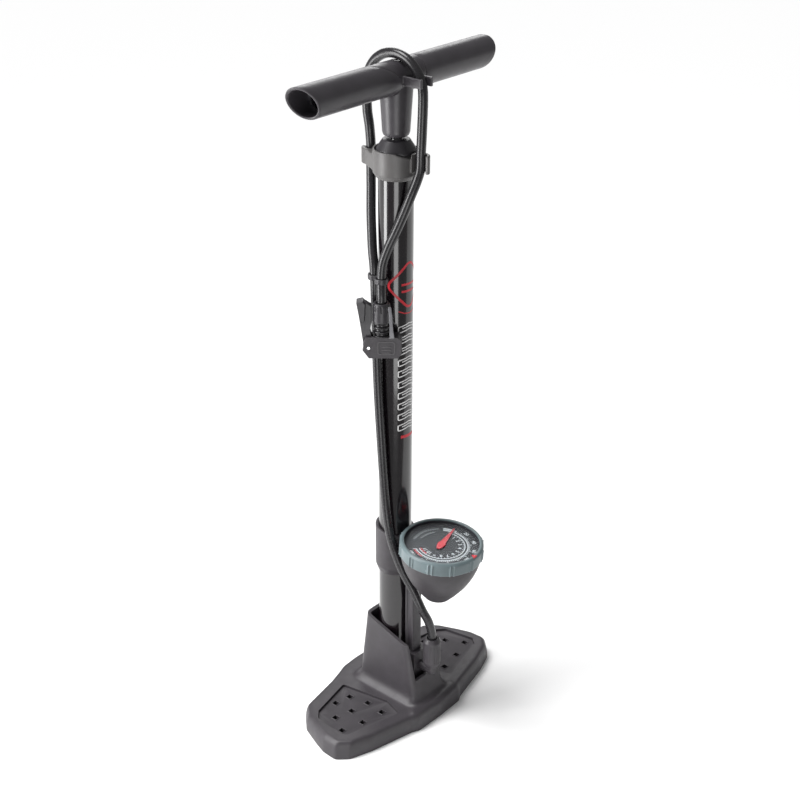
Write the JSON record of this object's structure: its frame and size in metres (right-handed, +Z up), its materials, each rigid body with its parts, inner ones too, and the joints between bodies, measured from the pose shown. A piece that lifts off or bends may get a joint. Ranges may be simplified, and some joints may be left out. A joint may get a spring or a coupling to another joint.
{
  "type": "floor bike pump",
  "caption": "Tall floor pump for bicycle tyres: steel barrel on a wide treaded base, T handle, top-facing gauge, and a hose with a lever valve head.",
  "frame": {"origin": "on the floor under the base, on the axis of the barrel", "axes": "+Z up along the barrel; the handle and the base lie along X; the gauge and the hose outlet face -Y"},
  "size_m": [0.26, 0.1666, 0.7143],
  "materials": {
    "charcoal_plastic": "fine moulded texture, charcoal",
    "pad_plastic": "pebbled tread insert, charcoal",
    "dark_plastic": "smooth moulded, near black",
    "cap_plastic": "satin moulded, dark grey",
    "black_paint": "gloss black with printed stripes",
    "steel": "bright zinc",
    "chrome_rod": "polished",
    "brass_parts": "satin",
    "rubber_seal": "matt black",
    "hose_rubber": "semi-gloss black",
    "bushing_plastic": "natural acetal",
    "bezel_grey": "satin blue grey",
    "marker_red": "gloss red",
    "dial_black": "printed dial",
    "lens_clear": "clear moulded lens"
  },
  "bodies": {
    "root": {"base": "charcoal_plastic", "foot_pad_left": "pad_plastic", "foot_pad_right": "pad_plastic", "base_screws": "steel", "barrel": "black_paint", "barrel_plug": "dark_plastic", "plug_seal": "rubber_seal", "check_spring": "steel", "outlet_elbow": "charcoal_plastic", "hose_nut": "charcoal_plastic", "gauge_bracket": "charcoal_plastic", "gauge_pipe": "brass_parts", "gauge_housing": "charcoal_plastic", "bourdon_tube": "brass_parts", "gauge_plate": "brass_parts", "gauge_dial": "dial_black", "gauge_lens": "lens_clear", "top_cap": "cap_plastic", "gland_nut": "dark_plastic", "rod_bushing": "bushing_plastic", "hose": "hose_rubber", "hose_clip": "dark_plastic", "head_nut": "dark_plastic", "head_boot": "hose_rubber", "head_body": "charcoal_plastic", "valve_gasket": "rubber_seal", "lever_pin": "steel"},
    "handle": {"piston_rod": "chrome_rod", "piston": "dark_plastic", "piston_seal": "rubber_seal", "piston_nut": "steel", "rebound_bumper": "rubber_seal", "handle_hub": "charcoal_plastic", "handle_tube": "steel", "handle_bolt": "steel", "grip_left": "charcoal_plastic", "grip_right": "charcoal_plastic"},
    "bezel": {"gauge_bezel": "bezel_grey", "bezel_marker": "marker_red"},
    "needle": {"needle_shaft": "steel", "gauge_needle": "marker_red"},
    "sector": {"sector_gear": "brass_parts"},
    "lever": {"head_lever": "dark_plastic"},
    "plunger": {"head_plunger": "bushing_plastic"},
    "ball": {"check_ball": "steel"}
  },
  "joints": [
    {"name": "handle_slide", "type": "slide", "parent": "root", "child": "handle", "axis": [0, 0, 1], "range_m": [0, 0.5], "deforming": ["hose"]},
    {"name": "bezel_turn", "type": "hinge", "parent": "root", "child": "bezel", "pos_m": [0, -0.0628, 0.222], "axis": [0, -0.0698, 0.9976], "continuous": true},
    {"name": "sector_turn", "type": "hinge", "parent": "root", "child": "sector", "pos_m": [0.014, -0.06154, 0.20404], "axis": [0, -0.0698, 0.9976], "range_deg": [0, 23.44], "stiffness_Nm_per_rad": 0.002},
    {"name": "needle_turn", "type": "hinge", "parent": "root", "child": "needle", "pos_m": [0, -0.0628, 0.222], "axis": [0, 0.0698, -0.9976], "range_deg": [0, 250.1]},
    {"name": "lever_turn", "type": "hinge", "parent": "root", "child": "lever", "pos_m": [-0.03664, 0.00279, 0.434], "axis": [-0.7593, -0.6508, 0], "range_deg": [0, 95]},
    {"name": "plunger_slide", "type": "slide", "parent": "root", "child": "plunger", "axis": [0.6508, -0.7593, 0], "range_m": [0, 0.0016]},
    {"name": "ball_lift", "type": "slide", "parent": "root", "child": "ball", "axis": [0, 0, 1], "range_m": [-0.0015, 0], "stiffness_N_per_m": 40, "springref_m": 0.002, "deforming": ["check_spring"]}
  ],
  "couplings": [
    {"joint": "needle_turn", "follows": "sector_turn", "ratio": 10.667},
    {"joint": "plunger_slide", "follows": "lever_turn", "m_per_rad": 0.00096}
  ]
}
